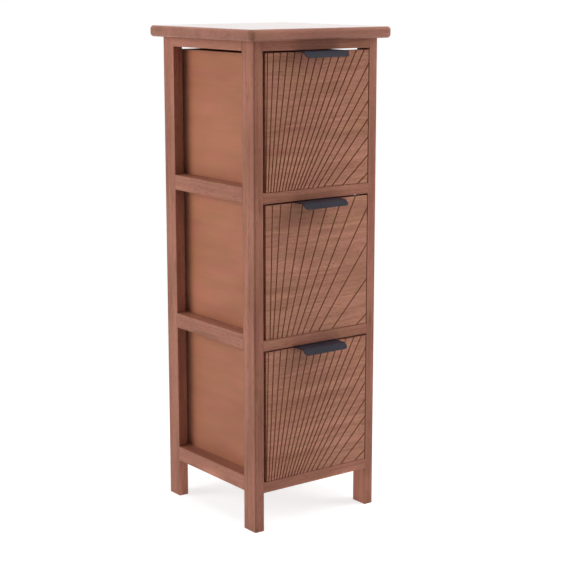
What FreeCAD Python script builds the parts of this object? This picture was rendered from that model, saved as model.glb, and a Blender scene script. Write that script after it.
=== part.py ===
import FreeCAD, Part
import os
import re
import Sketcher

# Driving sizes in millimetres. A name ending in share is a plain ratio, and one in count a number.
SIZES = {
    # frame of posts and rails
    "carcass_width": "257",
    "carcass_depth": "268",
    "post_thickness": "18",
    "post_width": "33",
    "leg_height": "67",
    "bay_pitch": "246",
    "front_rail_height": "18",
    "top_rail_height": "16",
    "rail_depth": "18",
    "post_corner_radius": "3",
    "arris_radius": "0.7",
    # top board
    "board_thickness": "19",
    "board_overhang": "18",
    "board_edge_radius": "6",
    "board_corner_radius": "10",
    # runner strips inside the side rails
    "runner_width": "18",
    "runner_height": "8",
    # inset drawer fronts
    "panel_thickness": "12",
    "panel_recess": "1",
    "panel_left_gap": "5.5",
    "panel_right_gap": "0.4",
    "panel_top_gap": "3",
    "panel_lift": "0.5",
    # fans of grooves in the fronts
    "groove_depth": "1.9",
    "fan_drop": "140",
    "dense_top_count": "14",
    "dense_side_count": "7",
    "dense_fan_inset": "-2",
    "dense_first_share": "0.023",
    "dense_last_share": "0.953",
    "dense_spread_share": "1.1",
    "dense_side_first_share": "0.101",
    "dense_side_step_share": "0.138",
    "sparse_top_count": "8",
    "sparse_side_count": "4",
    "sparse_fan_inset": "5",
    "sparse_first_share": "0.065",
    "sparse_last_share": "0.878",
    "sparse_spread_share": "1.2",
    "sparse_side_first_share": "0.097",
    "sparse_side_step_share": "0.277",
    # drawer boxes
    "box_side_gap": "6",
    "box_top_gap": "5.6",
    "box_rear_gap": "12",
    "box_wall": "9",
    "base_thickness": "4",
    "base_lift": "8",
    "housing_depth": "4",
    # bent-plate edge pulls
    "plate_thickness": "1.5",
    "handle_length": "90",
    "handle_reach": "31",
    "lip_run": "10",
    "lip_fall": "9",
    "lip_corner_radius": "6",
    "lip_bend_radius": "5",
    "tab_height": "20",
    "tab_corner_radius": "4",
    "tab_bend_radius": "1.2",
    # dowels
    "dowel_diameter": "8",
    "dowel_length": "28",
    "box_dowel_diameter": "5",
    "box_dowel_length": "24",
    "panel_dowel_bite": "8",
    "side_dowel_bite": "6",
    "dowel_height_share": "0.2",
    # screws
    "screw_diameter": "3.5",
    "screw_head_diameter": "6.5",
    "screw_head_height": "2",
    "screw_bite": "10",
    "screw_place_share": "0.25",
    "handle_screw_spacing": "60",
    "handle_screw_bite": "9",
    # clearances
    "fit_clearance": "0.1",
    "run_clearance": "0.3",
    "glue_space": "0.5",
    "cut_overrun": "1",
}

# Rails stand at four levels, and a drawer bay lies between each two of them.
RAIL_LEVELS = ("bottom", "lower", "upper", "top")
BAYS = ("lower", "middle", "upper")
TOP_LEVEL = len(BAYS)

# The fan of grooves in each drawer's front
FANS = {"lower": "dense", "middle": "sparse", "upper": "dense"}

# Planes and spans of the frame, as formulas of the sizes. The origin lies on the floor,
# at the middle of the whole outline from the handles to the board's rear edge.
FRONT = "((handle_reach - carcass_depth - board_overhang) / 2)"
BACK = f"({FRONT} + carcass_depth)"
OUTER = "(carcass_width / 2)"
INNER = "(carcass_width / 2 - post_thickness)"
SIDE_RAIL_LENGTH = "(carcass_depth - 2 * post_width)"
FRONT_RAIL_LENGTH = "(carcass_width - 2 * post_thickness)"
SIDE_RAIL_HEIGHT = "(front_rail_height + runner_height)"
BOARD_UNDERSIDE = f"(leg_height + {TOP_LEVEL} * bay_pitch + top_rail_height)"

# Planes and spans of a drawer. Its front hangs off the middle, with the wider gap at the left.
PANEL_FACE = f"({FRONT} + panel_recess)"
PANEL_BACK = f"({PANEL_FACE} + panel_thickness)"
PANEL_WIDTH = "(carcass_width - 2 * post_thickness - panel_left_gap - panel_right_gap)"
PANEL_MIDDLE = f"({INNER} - panel_left_gap)"
PANEL_HEIGHT = "(bay_pitch - front_rail_height - panel_lift - panel_top_gap)"
BOX_HALF = f"({INNER} - box_side_gap)"
BOX_INNER = f"({BOX_HALF} - box_wall)"
BOX_LENGTH = "(carcass_depth - panel_recess - panel_thickness - box_rear_gap)"
BOX_HEIGHT = f"(bay_pitch - {SIDE_RAIL_HEIGHT} - run_clearance - box_top_gap)"
BASE_TOP = "(base_lift + base_thickness)"
RUNNER_FRONT = f"({PANEL_BACK} + run_clearance)"
FAN_REACH = f"sqrt({PANEL_WIDTH} ^ 2 + ({PANEL_HEIGHT} + fan_drop) ^ 2)"

# Bore and screw sizes
SCREW_BORE = "(screw_diameter + 2 * fit_clearance)"
DOWEL_BORE = "(dowel_diameter + 2 * fit_clearance)"
DOWEL_DEPTH = "(dowel_length / 2 + glue_space)"
BOX_DOWEL_BORE = "(box_dowel_diameter + 2 * fit_clearance)"

# Turns that carry the upward axis of a cylinder or cone to each direction
TURNS = {
    "+X": ((0, 1, 0), 90),
    "-X": ((0, 1, 0), -90),
    "+Y": ((1, 0, 0), -90),
    "-Y": ((1, 0, 0), 90),
    "+Z": ((0, 0, 1), 0),
}

doc = FreeCAD.newDocument("drawer_cabinet")
sheet = doc.addObject("Spreadsheet::Sheet", "sizes")
for row, (alias, value) in enumerate(SIZES.items(), start=1):
    sheet.set(f"A{row}", value)
    sheet.setAlias(f"A{row}", alias)
doc.recompute()

ALIASES = re.compile(r"\b(" + "|".join(SIZES) + r")\b")
nodes = []


def formula(text):
    """The text with each size's name pointing at its cell."""
    return ALIASES.sub(r"sizes.\1", text)


def measure(text):
    """The value of a formula."""
    return float(sheet.evalExpression(formula(text)))


def bind(item, **formulas):
    """Ties each named property to a formula of the sizes."""
    for name, text in formulas.items():
        item.setExpression(name, formula(text))


def place(item, x, y, z):
    """Ties the item's place to three formulas."""
    for axis, text in zip("xyz", (x, y, z)):
        item.setExpression(f"Placement.Base.{axis}", formula(text))


def turn(item, direction):
    """Turns the item's upward axis to a direction."""
    axis, angle = TURNS[direction]
    item.Placement.Rotation = FreeCAD.Rotation(FreeCAD.Vector(*axis), angle)


def level(rail):
    """Underside of the rails at a level, counted from the bottom."""
    return f"(leg_height + {rail} * bay_pitch)"


def node(item, label):
    """Counts the item among the sub-parts, under its label."""
    item.Label = label
    nodes.append(item)
    return item


# Boards, bores and cuts


def board(label, corner, size):
    """A plain board as a body, its low corner at the given place."""
    body = node(doc.addObject("PartDesign::Body", label), label)
    place(body, *corner)
    block = body.newObject("PartDesign::AdditiveBox", f"{label}_block")
    bind(block, Length=size[0], Width=size[1], Height=size[2])
    doc.recompute()
    return body


def edges_of(feature, wanted):
    """Names of the edges for which wanted(middle, direction) holds."""
    names = []
    for number, edge in enumerate(feature.Shape.Edges, start=1):
        first, last = (edge.valueAt(p) for p in edge.ParameterRange)
        if wanted((first + last) * 0.5, last - first):
            names.append(f"Edge{number}")
    return names


def ease(body, name, radius, wanted):
    """Rounds the edges of the body that wanted picks."""
    base = body.Tip
    fillet = body.newObject("PartDesign::Fillet", f"{body.Label}_{name}")
    fillet.Base = (base, edges_of(base, wanted))
    bind(fillet, Radius=radius)
    doc.recompute()


def runs(run, axis):
    """Whether an edge runs along an axis, x, y or z."""
    return abs(getattr(run, axis)) > run.Length / 2


def ease_along(body, axis):
    """Eases the four long edges along an axis."""
    ease(body, "arris", "arris_radius", lambda _, run: runs(run, axis))


def started_outside(direction, mouth):
    """The mouth's place, moved out of the wood by the overrun."""
    sign, axis = direction
    moved = list(mouth)
    back = "-" if sign == "+" else "+"
    index = "XYZ".index(axis)
    moved[index] = f"{mouth[index]} {back} cut_overrun"
    return moved


def bore(body, direction, mouth, diameter, depth):
    """A round hole from its mouth into the body."""
    hole = body.newObject("PartDesign::SubtractiveCylinder", f"{body.Label}_bore")
    turn(hole, direction)
    bind(hole, Radius=f"{diameter} / 2", Height=f"{depth} + cut_overrun")
    place(hole, *started_outside(direction, mouth))


def countersink(body, direction, mouth):
    """A cone for a screw's head at the mouth of its hole."""
    sink = body.newObject("PartDesign::SubtractiveCone", f"{body.Label}_countersink")
    turn(sink, direction)
    bind(
        sink,
        Radius1="screw_head_diameter / 2 + fit_clearance",
        Radius2=f"{SCREW_BORE} / 2",
        Height="screw_head_height",
    )
    place(sink, *mouth)


def housing(body, corner, size):
    """A square groove cut into the body."""
    cut = body.newObject("PartDesign::SubtractiveBox", f"{body.Label}_housing")
    bind(cut, Length=size[0], Width=size[1], Height=size[2])
    place(cut, *corner)


# Dowels and screws, which share a node as a group of separate solids


def rod(group, direction, start, diameter, length):
    """One cylinder of a group."""
    item = doc.addObject("Part::Cylinder", f"{group}_rod")
    turn(item, direction)
    bind(item, Radius=f"{diameter} / 2", Height=length)
    place(item, *start)
    return item


def head(group, direction, start):
    """A screw's head, a cone that narrows along a direction."""
    item = doc.addObject("Part::Cone", f"{group}_head")
    turn(item, direction)
    bind(
        item,
        Radius1="screw_head_diameter / 2",
        Radius2="screw_diameter / 2",
        Height="screw_head_height",
    )
    place(item, *start)
    return item


def sunk_screw(group, direction, start, length):
    """A countersunk screw, from the plane of its head."""
    shank = rod(group, direction, start, "screw_diameter", length)
    return [head(group, direction, start), shank]


def group_of_rods(label, rods):
    group = node(doc.addObject("Part::Compound", label), label)
    group.Links = rods


def group_of_screws(label, pieces):
    group = node(doc.addObject("Part::MultiFuse", label), label)
    group.Shapes = pieces


# Frame


def cross_rail_height(rail):
    """Height of a front or back rail, lower at the top, under the board."""
    return "top_rail_height" if rail == TOP_LEVEL else "front_rail_height"


def side_rail_height(rail):
    """Height of a side rail. All but the top ones also carry a runner."""
    return "top_rail_height" if rail == TOP_LEVEL else SIDE_RAIL_HEIGHT


def side_sign(side):
    return "-" if side == "left" else "+"


def side_corner(side, span):
    """Low corner, across, of a piece that reaches a span out from the middle to a side."""
    reach, thickness = span
    return f"-{reach}" if side == "left" else f"{reach} - {thickness}"


def inner_face(side, thickness):
    """Place of a side piece's inner face, and the direction from it into the piece."""
    return (thickness, "-X") if side == "left" else ("0", "+X")


def make_post(end, side):
    """One leg and stile, with bores for the rails that meet it."""
    at_front = end == "front"
    corner_y = FRONT if at_front else f"{BACK} - post_width"
    post = board(
        f"{end}_{side}_post",
        (side_corner(side, (OUTER, "post_thickness")), corner_y, "0"),
        ("post_thickness", "post_width", BOARD_UNDERSIDE),
    )
    outer = FreeCAD.Vector(
        measure("0" if side == "left" else "post_thickness"),
        measure("0" if at_front else "post_width"),
        0,
    )
    near = measure("post_thickness / 2")

    def is_outer(middle):
        return FreeCAD.Vector(middle.x, middle.y, 0).distanceToPoint(outer) < near

    ease(post, "corner", "post_corner_radius", lambda middle, run: runs(run, "z") and is_outer(middle))
    ease(post, "arris", "arris_radius", lambda middle, run: runs(run, "z") and not is_outer(middle))
    face_x, into_post = inner_face(side, "post_thickness")
    rail_y = "rail_depth / 2" if at_front else "post_width - rail_depth / 2"
    face_y, into_end = ("post_width", "-Y") if at_front else ("0", "+Y")
    for rail in range(TOP_LEVEL + 1):
        cross_z = f"{level(rail)} + {cross_rail_height(rail)} / 2"
        bore(post, into_post, (face_x, rail_y, cross_z), DOWEL_BORE, DOWEL_DEPTH)
        side_z = f"{level(rail)} + {side_rail_height(rail)} / 2"
        bore(post, into_end, ("post_thickness / 2", face_y, side_z), DOWEL_BORE, DOWEL_DEPTH)


def screw_places():
    """Places of the two screws along a side rail, as shares of its length."""
    return ("screw_place_share", "(1 - screw_place_share)")


def make_side_rail(side, rail):
    """A rail of a side frame, bored for its dowels and for the runner's or the board's screws."""
    height = side_rail_height(rail)
    body = board(
        f"{side}_{RAIL_LEVELS[rail]}_rail",
        (side_corner(side, (OUTER, "post_thickness")), f"{FRONT} + post_width", level(rail)),
        ("post_thickness", SIDE_RAIL_LENGTH, height),
    )
    ease_along(body, "y")
    middle = ("post_thickness / 2", f"{height} / 2")
    bore(body, "+Y", (middle[0], "0", middle[1]), DOWEL_BORE, DOWEL_DEPTH)
    bore(body, "-Y", (middle[0], SIDE_RAIL_LENGTH, middle[1]), DOWEL_BORE, DOWEL_DEPTH)
    for share in screw_places():
        along = f"{share} * {SIDE_RAIL_LENGTH}"
        if rail == TOP_LEVEL:
            bore(body, "+Z", ("post_thickness / 2", along, "0"), SCREW_BORE, f"{height} + cut_overrun")
            countersink(body, "+Z", ("post_thickness / 2", along, "0"))
        else:
            face_x, into_rail = inner_face(side, "post_thickness")
            mouth = (face_x, along, "front_rail_height + runner_height / 2")
            bore(body, into_rail, mouth, SCREW_BORE, "screw_bite + glue_space")


def make_cross_rail(end, rail):
    """A front or back rail between two posts."""
    height = cross_rail_height(rail)
    body = board(
        f"{end}_{RAIL_LEVELS[rail]}_rail",
        (f"-{INNER}", FRONT if end == "front" else f"{BACK} - rail_depth", level(rail)),
        (FRONT_RAIL_LENGTH, "rail_depth", height),
    )
    ease_along(body, "x")
    middle = ("rail_depth / 2", f"{height} / 2")
    bore(body, "+X", ("0", *middle), DOWEL_BORE, DOWEL_DEPTH)
    bore(body, "-X", (FRONT_RAIL_LENGTH, *middle), DOWEL_BORE, DOWEL_DEPTH)


def make_runner(side, bay):
    """A strip beside the side rail that a drawer slides on. Its front end stops the drawer."""
    body = board(
        f"{BAYS[bay]}_{side}_runner",
        (
            side_corner(side, (INNER, "runner_width")),
            RUNNER_FRONT,
            f"{level(bay)} + front_rail_height",
        ),
        ("runner_width", f"{BACK} - {RUNNER_FRONT}", "runner_height"),
    )
    _, into_rail = inner_face(side, "runner_width")
    open_face = "runner_width" if side == "left" else "0"
    for share in screw_places():
        along = f"{FRONT} + post_width + {share} * {SIDE_RAIL_LENGTH} - {RUNNER_FRONT}"
        mouth = (open_face, along, "runner_height / 2")
        bore(body, into_rail, mouth, SCREW_BORE, "runner_width + cut_overrun")
        countersink(body, into_rail, mouth)


def make_top_board():
    """The overhanging board, its corners rounded in plan and its edges rounded over."""
    body = board(
        "top_board",
        (f"-{OUTER} - board_overhang", f"{FRONT} - board_overhang", BOARD_UNDERSIDE),
        (
            "carcass_width + 2 * board_overhang",
            "carcass_depth + 2 * board_overhang",
            "board_thickness",
        ),
    )
    ease(body, "corners", "board_corner_radius", lambda _, run: runs(run, "z"))
    ease(body, "edges", "board_edge_radius", lambda _, run: not runs(run, "z"))
    for across in ("post_thickness / 2", "carcass_width - post_thickness / 2"):
        for share in screw_places():
            along = f"board_overhang + post_width + {share} * {SIDE_RAIL_LENGTH}"
            mouth = (f"board_overhang + {across}", along, "0")
            bore(body, "+Z", mouth, SCREW_BORE, "screw_bite + glue_space")


def make_frame_dowels():
    """Dowels from the rails into the posts, a group for each face of the frame."""
    for side in ("left", "right"):
        rods = []
        across = f"{side_sign(side)}({OUTER} - post_thickness / 2)"
        for rail in range(TOP_LEVEL + 1):
            height = f"{level(rail)} + {side_rail_height(rail)} / 2"
            for joint in (f"{FRONT} + post_width", f"{BACK} - post_width"):
                start = (across, f"{joint} - dowel_length / 2", height)
                rods.append(rod(f"{side}_frame", "+Y", start, "dowel_diameter", "dowel_length"))
        group_of_rods(f"{side}_frame_dowels", rods)
    for end, depth in (("front", f"{FRONT} + rail_depth / 2"), ("back", f"{BACK} - rail_depth / 2")):
        rods = []
        for rail in range(TOP_LEVEL + 1):
            height = f"{level(rail)} + {cross_rail_height(rail)} / 2"
            for joint in (f"-{INNER}", INNER):
                start = (f"{joint} - dowel_length / 2", depth, height)
                rods.append(rod(f"{end}_rail", "+X", start, "dowel_diameter", "dowel_length"))
        group_of_rods(f"{end}_rail_dowels", rods)


def make_frame_screws():
    """Screws that hold the board from below, and the runners from inside."""
    board_screws = []
    runner_screws = []
    for side in ("left", "right"):
        across = f"{side_sign(side)}({OUTER} - post_thickness / 2)"
        open_face = f"{side_sign(side)}({INNER} - runner_width)"
        _, outwards = inner_face(side, "runner_width")
        for share in screw_places():
            along = f"{FRONT} + post_width + {share} * {SIDE_RAIL_LENGTH}"
            start = (across, along, level(TOP_LEVEL))
            board_screws += sunk_screw("top_board", "+Z", start, "top_rail_height + screw_bite")
            for bay in range(TOP_LEVEL):
                height = f"{level(bay)} + front_rail_height + runner_height / 2"
                start = (open_face, along, height)
                runner_screws += sunk_screw("runner", outwards, start, "runner_width + screw_bite")
    group_of_screws("top_board_screws", board_screws)
    group_of_screws("runner_screws", runner_screws)


# Drawers


def box_floor(bay):
    """Underside of a drawer's box, just clear of its runners."""
    return f"({level(bay)} + {SIDE_RAIL_HEIGHT} + run_clearance)"


def dowel_heights():
    """Heights of the two dowels in each joint of a box, above its underside."""
    return (f"dowel_height_share * {BOX_HEIGHT}", f"(1 - dowel_height_share) * {BOX_HEIGHT}")


def groove(panel, fan, head_x, head_z):
    """One V-groove from the fan's focus, below the panel, to its head on the panel's edge."""
    ray = panel.newObject("PartDesign::SubtractivePrism", f"{panel.Label}_groove")
    ray.Polygon = 3
    slope = f"atan2({head_x} - {fan}_fan_inset; {head_z} + fan_drop)"
    focus = f"vector({fan}_fan_inset; 0; -fan_drop)"
    bind(
        ray,
        Circumradius="groove_depth",
        Height=FAN_REACH,
        Placement=f"placement({focus}; rotation(90; 0; {slope}))",
    )


def make_grooves(panel, fan):
    """A fan of grooves: heads spread along the top edge, then evenly down the right edge."""
    on_top = int(measure(f"{fan}_top_count"))
    on_side = int(measure(f"{fan}_side_count"))
    for head in range(on_top):
        spread = f"({head} / {on_top - 1}) ^ {fan}_spread_share"
        share = f"({fan}_first_share + ({fan}_last_share - {fan}_first_share) * {spread})"
        groove(panel, fan, f"{PANEL_WIDTH} * {share}", PANEL_HEIGHT)
    for head in range(on_side):
        share = f"(1 - {fan}_side_first_share - {head} * {fan}_side_step_share)"
        groove(panel, fan, PANEL_WIDTH, f"{PANEL_HEIGHT} * {share}")


def make_drawer_front(bay):
    """The grooved front, housed for the base and bored for dowels and handle screws."""
    panel = board(
        f"{BAYS[bay]}_drawer_front",
        (f"-{PANEL_MIDDLE}", PANEL_FACE, f"{level(bay)} + front_rail_height + panel_lift"),
        (PANEL_WIDTH, "panel_thickness", PANEL_HEIGHT),
    )
    near_face = measure("panel_thickness / 3")
    ease(panel, "arris", "arris_radius", lambda middle, _: middle.y < near_face)
    box_z = "(runner_height + run_clearance - panel_lift)"
    housing(
        panel,
        (
            f"{PANEL_MIDDLE} - {BOX_INNER} - housing_depth",
            "panel_thickness - housing_depth",
            f"{box_z} + base_lift",
        ),
        (f"2 * ({BOX_INNER} + housing_depth)", "housing_depth + cut_overrun", "base_thickness"),
    )
    for sign in "-+":
        dowel_x = f"{PANEL_MIDDLE} {sign} ({BOX_HALF} - box_wall / 2)"
        for height in dowel_heights():
            mouth = (dowel_x, "panel_thickness", f"{box_z} + {height}")
            bore(panel, "-Y", mouth, BOX_DOWEL_BORE, "panel_dowel_bite + glue_space")
        screw_x = f"{PANEL_MIDDLE} {sign} handle_screw_spacing / 2"
        mouth = (screw_x, "panel_thickness", f"{PANEL_HEIGHT} - tab_height / 2")
        bore(panel, "-Y", mouth, SCREW_BORE, "handle_screw_bite + glue_space")
    make_grooves(panel, FANS[BAYS[bay]])


def make_drawer_side(bay, side):
    """A side of the box, housed for the base along its inner face."""
    body = board(
        f"{BAYS[bay]}_drawer_{side}_side",
        (side_corner(side, (BOX_HALF, "box_wall")), PANEL_BACK, box_floor(bay)),
        ("box_wall", BOX_LENGTH, BOX_HEIGHT),
    )
    face_x, into_side = inner_face(side, "box_wall")
    housing(
        body,
        (
            "box_wall - housing_depth" if side == "left" else "-cut_overrun",
            "-cut_overrun",
            "base_lift",
        ),
        ("housing_depth + cut_overrun", f"{BOX_LENGTH} + 2 * cut_overrun", "base_thickness"),
    )
    for height in dowel_heights():
        front_depth = "box_dowel_length - panel_dowel_bite + glue_space"
        bore(body, "+Y", ("box_wall / 2", "0", height), BOX_DOWEL_BORE, front_depth)
        mouth = (face_x, f"{BOX_LENGTH} - box_wall / 2", height)
        bore(body, into_side, mouth, BOX_DOWEL_BORE, "side_dowel_bite + glue_space")


def make_drawer_back(bay):
    """The back of the box, between the sides and on the base."""
    width = f"(2 * {BOX_INNER})"
    body = board(
        f"{BAYS[bay]}_drawer_back",
        (
            f"-{BOX_INNER}",
            f"{PANEL_BACK} + {BOX_LENGTH} - box_wall",
            f"{box_floor(bay)} + {BASE_TOP}",
        ),
        (width, "box_wall", f"{BOX_HEIGHT} - {BASE_TOP}"),
    )
    depth = "box_dowel_length - side_dowel_bite + glue_space"
    for height in dowel_heights():
        end = ("box_wall / 2", f"{height} - {BASE_TOP}")
        bore(body, "+X", ("0", *end), BOX_DOWEL_BORE, depth)
        bore(body, "-X", (width, *end), BOX_DOWEL_BORE, depth)


def make_drawer_base(bay):
    """The thin base, let into the front and the sides."""
    half = f"({BOX_INNER} + housing_depth - fit_clearance)"
    let_in = "(housing_depth - fit_clearance)"
    board(
        f"{BAYS[bay]}_drawer_base",
        (f"-{half}", f"{PANEL_BACK} - {let_in}", f"{box_floor(bay)} + base_lift"),
        (f"2 * {half}", f"{BOX_LENGTH} + {let_in}", "base_thickness"),
    )


def outline(body, points):
    """A closed sketch of straight lines across the body, every point tied to formulas."""
    sketch = body.newObject("Sketcher::SketchObject", f"{body.Label}_outline")
    across = next(item for item in body.Origin.OriginFeatures if item.Role == "YZ_Plane")
    sketch.AttachmentSupport = [(across, "")]
    sketch.MapMode = "FlatFace"
    corners = [FreeCAD.Vector(measure(y), measure(z), 0) for y, z in points]
    for here, following in zip(corners, corners[1:] + corners[:1]):
        sketch.addGeometry(Part.LineSegment(here, following))
    for line in range(len(corners)):
        following = (line + 1) % len(corners)
        sketch.addConstraint(Sketcher.Constraint("Coincident", line, 2, following, 1))
    for line, (formulas, corner) in enumerate(zip(points, corners)):
        for kind, text, value in zip(("DistanceX", "DistanceY"), formulas, corner):
            tie = sketch.addConstraint(Sketcher.Constraint(kind, -1, 1, line, 1, value))
            sketch.setExpression(f"Constraints[{tie}]", formula(text))
    return sketch


def make_handle(bay):
    """A plate bent over the front's top edge: tab behind it, flange over it, lip before it."""
    label = f"{BAYS[bay]}_drawer_handle"
    body = node(doc.addObject("PartDesign::Body", label), label)
    place(body, "0", PANEL_FACE, f"{level(bay + 1)} - panel_top_gap")
    tip = "(handle_reach + panel_recess)"
    bend = f"({tip} - lip_run)"
    lip = "sqrt(lip_run ^ 2 + lip_fall ^ 2)"
    behind = "panel_thickness + plate_thickness"
    sketch = outline(
        body,
        [
            (behind, "-tab_height"),
            (behind, "plate_thickness"),
            (f"-{bend}", "plate_thickness"),
            (f"-{tip}", "plate_thickness - lip_fall"),
            (
                f"-{tip} + plate_thickness * lip_fall / {lip}",
                f"plate_thickness - lip_fall - plate_thickness * lip_run / {lip}",
            ),
            (f"-{bend} + plate_thickness * ({lip} - lip_run) / lip_fall", "0"),
            ("panel_thickness", "0"),
            ("panel_thickness", "-tab_height"),
        ],
    )
    plate = body.newObject("PartDesign::Pad", f"{label}_plate")
    plate.Profile = sketch
    plate.SideType = "Symmetric"
    bind(plate, Length="handle_length")
    doc.recompute()
    thin = measure("2 * plate_thickness")
    lip_half = measure(f"-{tip} + lip_run / 2")
    tab_half = measure("-tab_height / 2")
    upper_face = measure("plate_thickness / 2")
    ease(
        body,
        "lip_corners",
        "lip_corner_radius",
        lambda middle, run: middle.y < lip_half and run.Length < thin,
    )
    ease(
        body,
        "tab_corners",
        "tab_corner_radius",
        lambda middle, run: middle.z < tab_half and middle.y > 0 and run.Length < thin,
    )
    ease(
        body,
        "tab_bend",
        "tab_bend_radius",
        lambda middle, run: middle.z > upper_face and middle.y > 0 and abs(run.x) > thin,
    )
    ease(
        body,
        "lip_bend",
        "lip_bend_radius",
        lambda middle, run: middle.z > upper_face and middle.y < 0 and abs(run.x) > thin,
    )
    ease(
        body,
        "inner_lip_bend",
        "lip_bend_radius - plate_thickness",
        lambda middle, run: abs(middle.z) < upper_face and middle.y < 0 and abs(run.x) > thin,
    )
    for sign in "-+":
        mouth = (f"{sign}handle_screw_spacing / 2", behind, "-tab_height / 2")
        bore(body, "-Y", mouth, SCREW_BORE, "plate_thickness + cut_overrun")


def make_handle_screws(bay):
    """Two round-headed screws through the handle's tab into the back of the front."""
    label = f"{BAYS[bay]}_drawer_handle"
    height = f"{level(bay + 1)} - panel_top_gap - tab_height / 2"
    pieces = []
    for sign in "-+":
        seat = (f"{sign}handle_screw_spacing / 2", f"{PANEL_BACK} + plate_thickness", height)
        pieces.append(head(label, "+Y", seat))
        length = "plate_thickness + handle_screw_bite"
        pieces.append(rod(label, "-Y", seat, "screw_diameter", length))
    group_of_screws(f"{label}_screws", pieces)


def make_box_dowels(bay):
    """Dowels from the sides into the front, and from the back into the sides."""
    label = f"{BAYS[bay]}_drawer"
    rods = []
    for height in dowel_heights():
        above = f"{box_floor(bay)} + {height}"
        for sign in "-+":
            across = f"{sign}({BOX_HALF} - box_wall / 2)"
            start = (across, f"{PANEL_BACK} - panel_dowel_bite", above)
            rods.append(rod(label, "+Y", start, "box_dowel_diameter", "box_dowel_length"))
        rear = f"{PANEL_BACK} + {BOX_LENGTH} - box_wall / 2"
        left = f"-{BOX_INNER} - side_dowel_bite"
        right = f"{BOX_INNER} + side_dowel_bite - box_dowel_length"
        for across in (left, right):
            start = (across, rear, above)
            rods.append(rod(label, "+X", start, "box_dowel_diameter", "box_dowel_length"))
    group_of_rods(f"{label}_dowels", rods)


def make_drawer(bay):
    make_drawer_front(bay)
    for side in ("left", "right"):
        make_drawer_side(bay, side)
    make_drawer_back(bay)
    make_drawer_base(bay)
    make_handle(bay)
    make_handle_screws(bay)
    make_box_dowels(bay)


def make_frame():
    make_top_board()
    for side in ("left", "right"):
        for end in ("front", "rear"):
            make_post(end, side)
        for rail in range(TOP_LEVEL + 1):
            make_side_rail(side, rail)
        for bay in range(TOP_LEVEL):
            make_runner(side, bay)
    for end in ("front", "back"):
        for rail in range(TOP_LEVEL + 1):
            make_cross_rail(end, rail)
    make_frame_dowels()
    make_frame_screws()


def check():
    """Stops if any object failed, or any sub-part has no sound solid."""
    for item in doc.Objects:
        if "Invalid" in item.State or "Error" in item.State:
            raise RuntimeError(f"{item.Label} failed: {item.State}")
    for item in nodes:
        if item.Shape.isNull() or not item.Shape.isValid() or not item.Shape.Solids:
            raise RuntimeError(f"{item.Label} has no sound solid")


make_frame()
for bay in range(TOP_LEVEL):
    make_drawer(bay)
doc.recompute()
check()
os.makedirs("parts", exist_ok=True)
for item in nodes:
    item.Shape.exportStep(f"parts/{item.Label}.step")
print(len(nodes), "sub-parts written")
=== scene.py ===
"""Looks of a narrow cabinet with three drawers: stained wood, grooved fronts and bent-plate pulls."""

import math

import bmesh
import bpy
from bpy.props import FloatProperty, FloatVectorProperty, IntProperty, PointerProperty
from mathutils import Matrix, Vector


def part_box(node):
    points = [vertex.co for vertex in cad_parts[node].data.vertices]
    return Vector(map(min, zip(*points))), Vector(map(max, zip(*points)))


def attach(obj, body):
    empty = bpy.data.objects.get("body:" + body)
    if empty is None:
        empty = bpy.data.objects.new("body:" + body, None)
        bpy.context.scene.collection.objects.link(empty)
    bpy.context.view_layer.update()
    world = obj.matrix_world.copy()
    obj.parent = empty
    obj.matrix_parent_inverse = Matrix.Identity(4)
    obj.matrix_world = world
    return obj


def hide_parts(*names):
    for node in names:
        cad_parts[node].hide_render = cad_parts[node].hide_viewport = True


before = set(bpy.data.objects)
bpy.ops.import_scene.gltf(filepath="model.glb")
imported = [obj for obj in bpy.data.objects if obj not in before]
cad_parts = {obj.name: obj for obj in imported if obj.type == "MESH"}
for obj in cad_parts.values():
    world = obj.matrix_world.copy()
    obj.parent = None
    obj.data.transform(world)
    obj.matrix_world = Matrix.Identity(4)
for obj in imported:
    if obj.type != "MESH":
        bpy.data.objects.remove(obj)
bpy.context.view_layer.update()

bl_info = {
    "name": "Drawer cabinet looks",
    "version": (1, 0, 0),
    "blender": (4, 5, 0),
    "location": "3D View > Sidebar > Cabinet",
    "description": "Finishes, pulls, screws and stage of a narrow cabinet with three drawers",
    "category": "Object",
}

MILLIMETRE = 0.001
DRAWERS = ("lower", "middle", "upper")
SIDES = ("left", "right")

# Turns that lay a pattern's X axis along the grain of a piece
GRAIN_TURNS = {
    "across": (0, 0, 0),
    "deep": (0, 0, -math.pi / 2),
    "upright": (0, math.pi / 2, 0),
}

# Marks of the grain per metre along it and across it, and how finely they are broken up
GRAIN_MARKS = {
    "Clouds": (7, 24, 2),
    "Bands": (5, 75, 3),
    "Streaks": (4, 190, 4),
    "Fibres": (26, 1100, 2),
    "Pores": (75, 1500, 1),
    "Lean": (16, 45, 2),
}
KNOTS_ALONG, KNOTS_ACROSS = 9, 42
WAVER_SCALE, WAVER_DETAIL = 6, 2
GROOVE_FIBRES = (60, 900, 3)

# How strongly each mark of the grain shows in each kind of wood, and its waver in metres
MARKS = ("Clouds", "Bands", "Streaks", "Fibres", "Pores", "Knots", "Waver")
FIGURES = {
    "frame": (1.9, 0.9, 1.7, 0.5, 0.5, 0.5, 0.008),
    "front": (1.1, 1.3, 2.2, 0.6, 0.6, 0.0, 0.022),
    "box": (1.3, 0.2, 0.25, 0.1, 0.1, 0.0, 0.008),
    "bare": (0.9, 0.0, 1.3, 0.5, 0.6, 0.0, 0.008),
}

# Values of a pattern between which a mark fades in
SOFT_EDGE = (0.3, 0.7)
FIRM_EDGE = (0.35, 0.65)
PORE_EDGE = (0.56, 0.68)
KNOT_EDGE = (0.16, 0.04)
MIDDLE_TONE = 0.5

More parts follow.
